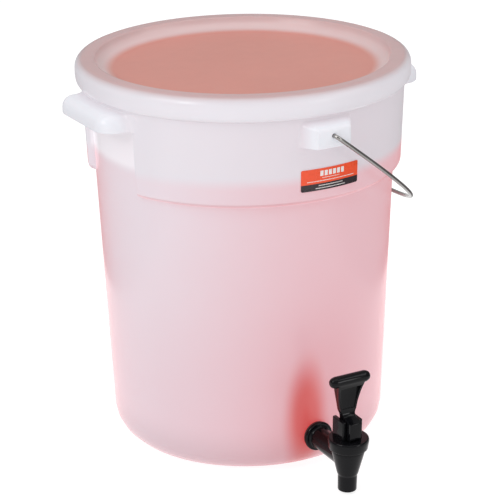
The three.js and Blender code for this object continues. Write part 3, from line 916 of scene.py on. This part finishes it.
def coordinate(tree, axis):
    split = new_node(tree, "ShaderNodeSeparateXYZ")
    tree.links.new(object_point(tree), split.inputs["Vector"])
    return split.outputs[axis]


def noise(tree, scale, detail):
    texture = set_inputs(new_node(tree, "ShaderNodeTexNoise"), Scale=scale, Detail=detail, Roughness=0.55)
    tree.links.new(object_point(tree), texture.inputs["Vector"])
    return texture.outputs["Fac"]


def maths(tree, operation, *values):
    """The result of a Math node; each value is a socket to link or a number."""
    node = new_node(tree, "ShaderNodeMath", operation=operation)
    for socket, value in zip(node.inputs, values):
        if isinstance(value, bpy.types.NodeSocket):
            tree.links.new(value, socket)
        else:
            socket.default_value = value
    return node.outputs[0]


def times(tree, *values):
    """The product of several values."""
    product = values[0]
    for value in values[1:]:
        product = maths(tree, "MULTIPLY", product, value)
    return product


def inside(tree, value, low, high):
    """1 where a value lies between two limits."""
    return maths(tree, "COMPARE", value, (low + high) / 2, (high - low) / 2)


def between(tree, value, low, high):
    """0 to 1 as a value goes from one limit to the other, and no further."""
    node = new_node(tree, "ShaderNodeMapRange", clamp=True)
    set_inputs(node, From_Min=low, From_Max=high)
    tree.links.new(value, node.inputs["Value"])
    return node.outputs["Result"]


def ramp(tree, value, stops):
    """A colour ramp over a value; stops are (position, (r, g, b)) or (position, grey)."""
    node = new_node(tree, "ShaderNodeValToRGB")
    node.color_ramp.interpolation = "EASE"
    elements = node.color_ramp.elements
    while len(elements) < len(stops):
        elements.new(0.5)
    for element, (position, colour) in zip(elements, stops):
        element.position = position
        element.color = (*colour, 1) if isinstance(colour, tuple) else (colour, colour, colour, 1)
    tree.links.new(value, node.inputs["Fac"])
    return node.outputs["Color"]


def mixed(tree, factor, first, second, blend="MIX"):
    node = new_node(tree, "ShaderNodeMix", data_type="RGBA", blend_type=blend)
    for socket, value in (("Factor_Float", factor), ("A_Color", first), ("B_Color", second)):
        target = next(s for s in node.inputs if s.identifier == socket)
        if isinstance(value, bpy.types.NodeSocket):
            tree.links.new(value, target)
        elif isinstance(value, tuple):
            target.default_value = (*value, 1)
        else:
            target.default_value = value
    return next(s for s in node.outputs if s.identifier == "Result_Color")


def multiplied(tree, first, second):
    return mixed(tree, 1.0, first, second, "MULTIPLY")


def vector_maths(tree, operation, vector, by=(0, 0, 0)):
    node = new_node(tree, "ShaderNodeVectorMath", operation=operation)
    node.inputs[1].default_value = by
    tree.links.new(vector, node.inputs[0])
    return node.outputs["Value" if operation == "LENGTH" else "Vector"]


def radius_from_axis(tree):
    flat = vector_maths(tree, "MULTIPLY", object_point(tree), (1, 1, 0))
    return vector_maths(tree, "LENGTH", flat)


def near_point(tree, centre, stretch, reach):
    """1 at a point, falling to 0 at a distance from it measured after a stretch."""
    offset = vector_maths(tree, "SUBTRACT", object_point(tree), centre)
    size = vector_maths(tree, "LENGTH", vector_maths(tree, "MULTIPLY", offset, stretch))
    return ramp(tree, between(tree, size, 0.0, reach), [(0.0, 1.0), (0.3, 0.92), (1.0, 0.0)])


def painted_tap_band(tree):
    """1 straight above and below the tap, falling to 0 over a quarter turn or so either side of it: the
    mask of a painted shade band, where less lamp light falls on the wall.
    """
    front = maths(tree, "MULTIPLY", coordinate(tree, "Y"), -1.0)
    angle = maths(tree, "ARCTAN2", coordinate(tree, "X"), front)
    share = between(tree, maths(tree, "ABSOLUTE", angle), 0.0, TAP_BAND_SHADE_ANGLE)
    return ramp(tree, share, [(0.0, 1.0), (1.0, 0.0)])


def bump(tree, shader, height, strength, distance):
    node = set_inputs(new_node(tree, "ShaderNodeBump"), Strength=strength, Distance=distance)
    tree.links.new(height, node.inputs["Height"])
    tree.links.new(node.outputs["Normal"], shader.inputs["Normal"])


def satin(tree, shader):
    """The moulded surface of both polyethylene pieces, and full strength for their painted glow."""
    set_inputs(shader, Subsurface_Weight=0.2, Subsurface_Radius=(1.0, 0.5, 0.5), Subsurface_Scale=0.005)
    set_inputs(shader, Specular_IOR_Level=0.25, Emission_Strength=1.0)
    rough = ramp(tree, noise(tree, 60.0, 3.0), [(0.3, 0.20), (0.7, 0.26)])
    tree.links.new(rough, shader.inputs["Roughness"])
    bump(tree, shader, noise(tree, 420.0, 2.0), 0.05, 0.0004)


def milky():
    """Translucent polyethylene: the drink shows through it up to the drink's level. Its emission is a
    painted glow standing in for light that passes through the wall and the drink.
    """
    made, tree, shader = material("milky_polyethylene")
    height = coordinate(tree, "Z")
    radius = radius_from_axis(tree)
    # painted shade: a band above and below the tap where less lamp light falls
    tap_band_shade = painted_tap_band(tree)
    # painted shadow of the tap on the wall beside it, deep red
    spot = near_point(tree, **TAP_SHADOW_SPOT)
    thick = between(tree, radius, *THICK_RADIUS)
    recess = between(tree, radius, *RECESS_RADIUS)
    # painted light fills the shade under the grips, in the recesses
    under_grip = times(tree, recess, between(tree, height, *UNDER_GRIP_Z))
    # painted shade in the crease just under the collar's step
    lip = times(tree, inside(tree, height, *LIP_Z), between(tree, radius, *LIP_RADIUS))
    level = maths(tree, "MULTIPLY_ADD", noise(tree, 9.0, 2.0), LEVEL_WOBBLE, height)
    above = ramp(tree, between(tree, level, *LEVEL_Z), [(0.0, 0.0), (1.0, 1.0)])

    # painted shade: darker near the floor, where the table beneath is in shadow
    heel = ramp(tree, between(tree, height, *HEEL_Z), [(0.0, HEEL_PAINTED_SHADE), (1.0, 1.0)])
    # darker and pinker towards the bottom
    depth = ramp(tree, between(tree, height, *LOW_DARKENING_Z), [(0.0, LOW_DARKENING), (1.0, (1, 1, 1))])
    # shade joins the painted shade near the floor and under the collar's step with the darker bottom, and
    # dims both colour and glow
    shade = mixed(tree, lip, multiplied(tree, depth, heel), LIP_PAINTED_SHADE)

    wet = mixed(tree, tap_band_shade, WET, WET_TAP_BAND_SHADE)
    wet = mixed(tree, spot, wet, WET_IN_TAP_SHADOW)
    dry = mixed(tree, tap_band_shade, DRY, DRY_TAP_BAND_SHADE)
    dry = mixed(tree, thick, dry, THICK)
    cloud = ramp(tree, noise(tree, 5.0, 2.0), [(0.3, 0.97), (0.7, 1.0)])
    colour = multiplied(tree, mixed(tree, above, wet, dry), multiplied(tree, cloud, shade))
    tree.links.new(colour, shader.inputs["Base Color"])

    # painted glow: emission standing in for light passing through the wall, red below the drink's level
    wet_glow = mixed(tree, spot, WET_GLOW, WET_IN_TAP_SHADOW_GLOW)
    dry_glow = mixed(tree, under_grip, DRY_GLOW, UNDER_GRIP_GLOW)
    dry_glow = mixed(tree, thick, dry_glow, THICK_GLOW)
    glow = multiplied(tree, mixed(tree, above, wet_glow, dry_glow), shade)
    tree.links.new(glow, shader.inputs["Emission Color"])
    satin(tree, shader)
    return made


def lid_plastic():
    """The lid's plastic: salmon over the drink, paler on the sloping wall, white outside, with a painted
    glow on its skirt and outer edge.
    """
    made, tree, shader = material("lid_polyethylene")
    height = coordinate(tree, "Z")
    radius = radius_from_axis(tree)
    low, high = LID_STOPS[0][0], LID_STOPS[-1][0]
    stops = [((stop - low) / (high - low), colour) for stop, colour in LID_STOPS]
    top = ramp(tree, between(tree, radius, low, high), stops)
    side = times(tree, between(tree, height, *LID_SIDE_Z), between(tree, radius, *LID_SIDE_RADIUS))
    edge = between(tree, radius, *LID_EDGE_RADIUS)
    cloud = ramp(tree, noise(tree, 7.0, 2.0), [(0.3, 0.95), (0.7, 1.0)])
    colour = multiplied(tree, mixed(tree, side, top, DRY), cloud)
    tree.links.new(colour, shader.inputs["Base Color"])
    # painted glow on the skirt and outer edge, as on the pail's dry wall
    glow = mixed(tree, side, (0.0, 0.0, 0.0), DRY_GLOW)
    tree.links.new(mixed(tree, edge, glow, DRY_GLOW), shader.inputs["Emission Color"])
    satin(tree, shader)
    return made


def print_row(tree, across, height, rows, span, pitch, share):
    """A row of small blocks, as unreadable print looks from a distance."""
    marks = inside(tree, maths(tree, "PINGPONG", across, pitch), 0.0, pitch * share)
    return times(tree, marks, inside(tree, height, *rows), inside(tree, across, *span))


def label_film():
    """Printed film: a bright field over a dark strip, with a row of blocks and fine lines."""
    made, tree, shader = material("label_print")
    height = coordinate(tree, "Z")
    across = coordinate(tree, "X")
    field = mixed(tree, between(tree, height, *LABEL_SPLIT_Z), LABEL_STRIP, LABEL_FIELD)
    for row in LABEL_ROWS:
        field = mixed(tree, print_row(tree, across, height, *row), field, LABEL_PRINT)
    grain = ramp(tree, noise(tree, 300.0, 4.0), [(0.3, 0.93), (0.7, 1.0)])
    tree.links.new(multiplied(tree, field, grain), shader.inputs["Base Color"])
    set_inputs(shader, Specular_IOR_Level=0.3)
    rough = ramp(tree, noise(tree, 90.0, 3.0), [(0.3, 0.24), (0.7, 0.34)])
    tree.links.new(rough, shader.inputs["Roughness"])
    bump(tree, shader, noise(tree, 700.0, 2.0), 0.03, 0.0002)
    return made


def plain_material(name, colour, roughness, variation=0.06, metallic=0.0, specular=0.5, strength=0.05):
    """One colour with fine mottling, uneven gloss and a fine moulded or drawn surface."""
    made, tree, shader = material(name)
    darker = tuple(c * (1.0 - variation * 3) for c in colour)
    tone = ramp(tree, noise(tree, 35.0, 4.0), [(0.3, darker), (0.7, colour)])
    tree.links.new(tone, shader.inputs["Base Color"])
    stops = [(0.3, roughness - variation), (0.7, roughness + variation)]
    tree.links.new(ramp(tree, noise(tree, 120.0, 4.0), stops), shader.inputs["Roughness"])
    set_inputs(shader, Metallic=metallic, Specular_IOR_Level=specular)
    bump(tree, shader, noise(tree, 900.0, 2.0), strength, 0.0003)
    return made


def dress(obj, made, slot, body, *nodes):
    obj.data.materials.clear()
    obj.data.materials.append(made)
    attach(obj, body)
    if nodes:
        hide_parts(*nodes)
    return obj


# ---- stage --------------------------------------------------------------------------------
def make_camera():
    place = Vector((
        CAMERA["distance"] * math.sin(CAMERA_TURN),
        -CAMERA["distance"] * math.cos(CAMERA_TURN),
        CAMERA["height"],
    )) * MM
    data = bpy.data.cameras.new("camera")
    data.lens = CAMERA["lens"]
    data.sensor_width = CAMERA["sensor"]
    camera = bpy.data.objects.new("camera", data)
    bpy.context.scene.collection.objects.link(camera)
    heading = Matrix.Rotation(CAMERA_TURN - math.radians(CAMERA["yaw"]), 4, "Z")
    tilt = Matrix.Rotation(math.radians(90.0 - CAMERA["pitch"]), 4, "X")
    roll = Matrix.Rotation(math.radians(CAMERA["roll"]), 4, "Z")
    camera.matrix_world = Matrix.Translation(place) @ heading @ tilt @ roll
    bpy.context.scene.camera = camera


def area_light(name, azimuth, elevation, distance, size, power):
    turn, rise = math.radians(azimuth), math.radians(elevation)
    aim = Vector((math.sin(turn) * math.cos(rise), -math.cos(turn) * math.cos(rise), math.sin(rise)))
    data = bpy.data.lights.new(name, "AREA")
    data.shape = "RECTANGLE"
    data.size, data.size_y = size
    data.energy = power
    light = bpy.data.objects.new(name, data)
    bpy.context.scene.collection.objects.link(light)
    facing = aim.to_track_quat("Z", "Y").to_matrix().to_4x4()
    light.matrix_world = Matrix.Translation(LIGHT_AIM + aim * distance) @ facing


def make_card(side, made):
    """A grey upright card at one side of the pail, unseen by the camera, that darkens its edge."""
    right = Vector((math.cos(CAMERA_TURN), math.sin(CAMERA_TURN), 0.0))
    back = Vector((-math.sin(CAMERA_TURN), math.cos(CAMERA_TURN), 0.0))
    feet = [right * side * across + back * behind for across, behind in (CARD_START, CARD_END)]
    low, high = CARD_Z
    corners = [foot + Vector((0, 0, low)) for foot in feet]
    corners += [foot + Vector((0, 0, high)) for foot in reversed(feet)]
    card = new_object("flag", corners, [(0, 1, 2, 3)])
    card.data.materials.append(made)
    card.visible_camera = False
    return card


def make_floor():
    """A white floor that gives off light, so that it renders white."""
    half = FLOOR_HALF
    floor = prism("floor", [(-half, -half), (half, -half), (half, half), (-half, half)], "z", *FLOOR_Z)
    made, tree, shader = material("floor_white")
    tone = ramp(tree, noise(tree, 2.0, 2.0), [(0.3, 0.30), (0.7, 0.32)])
    tree.links.new(tone, shader.inputs["Base Color"])
    set_inputs(shader, Roughness=0.8, Emission_Strength=FLOOR_GLOW, Emission_Color=(1, 1, 1, 1))
    floor.data.materials.append(made)
    return floor


def make_stage():
    scene = bpy.context.scene
    scene.view_settings.view_transform = "Standard"
    world = bpy.data.worlds.new("studio")
    world.use_nodes = True
    set_inputs(world.node_tree.nodes["Background"], Color=(1.0, 1.0, 1.0, 1), Strength=WORLD_STRENGTH)
    scene.world = world
    floor = make_floor()
    card = plain_material("card_grey", (0.24, 0.24, 0.24), 0.9, variation=0.01)
    for side in (-1, 1):
        flag = make_card(side, card)
    for light in LIGHTS:
        area_light(*light)


make_camera()
make_stage()

dress(make_pail(), milky(), "milky_plastic", "bucket", "pail")
dress(make_lid(), lid_plastic(), "lid_plastic", "lid", "lid")
drink = plain_material("drink_red", (0.60, 0.075, 0.06), 0.08, variation=0.02, strength=0.0)
dress(make_drink(), drink, "milky_plastic", "bucket")
metal = plain_material("drawn_steel", (0.33, 0.32, 0.31), 0.18, metallic=1.0)
dress(make_bail(), metal, "steel", "bail", "bail")
dress(make_label(), label_film(), "label_film", "bucket", "label")

black = plain_material("black_gloss", BLACK, 0.08, variation=0.02, specular=0.14)
dress(make_tap_body(), black, "black_plastic", "bucket", "tap_body")
dress(make_bonnet(), black, "black_plastic", "bucket", "bonnet")
dress(make_lever(), black, "black_plastic", "tap_lever", "lever")

spring = dress(make_spring(), metal, "steel", "bucket", "stem_spring")
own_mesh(spring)

rubber = plain_material("black_rubber_skin", (0.022, 0.022, 0.023), 0.55)
silicone = plain_material("silicone_skin", (0.80, 0.79, 0.77), 0.45)
cad_looks = {
    "lid_seal": silicone, "outer_washer": rubber, "inner_washer": rubber, "lock_nut": black,
    "seat_cup": silicone, "stem": black, "lever_pin": metal,
}
for node, made in cad_looks.items():
    obj = frame["nodes"][node]
    obj.data.materials.clear()
    obj.data.materials.append(made)
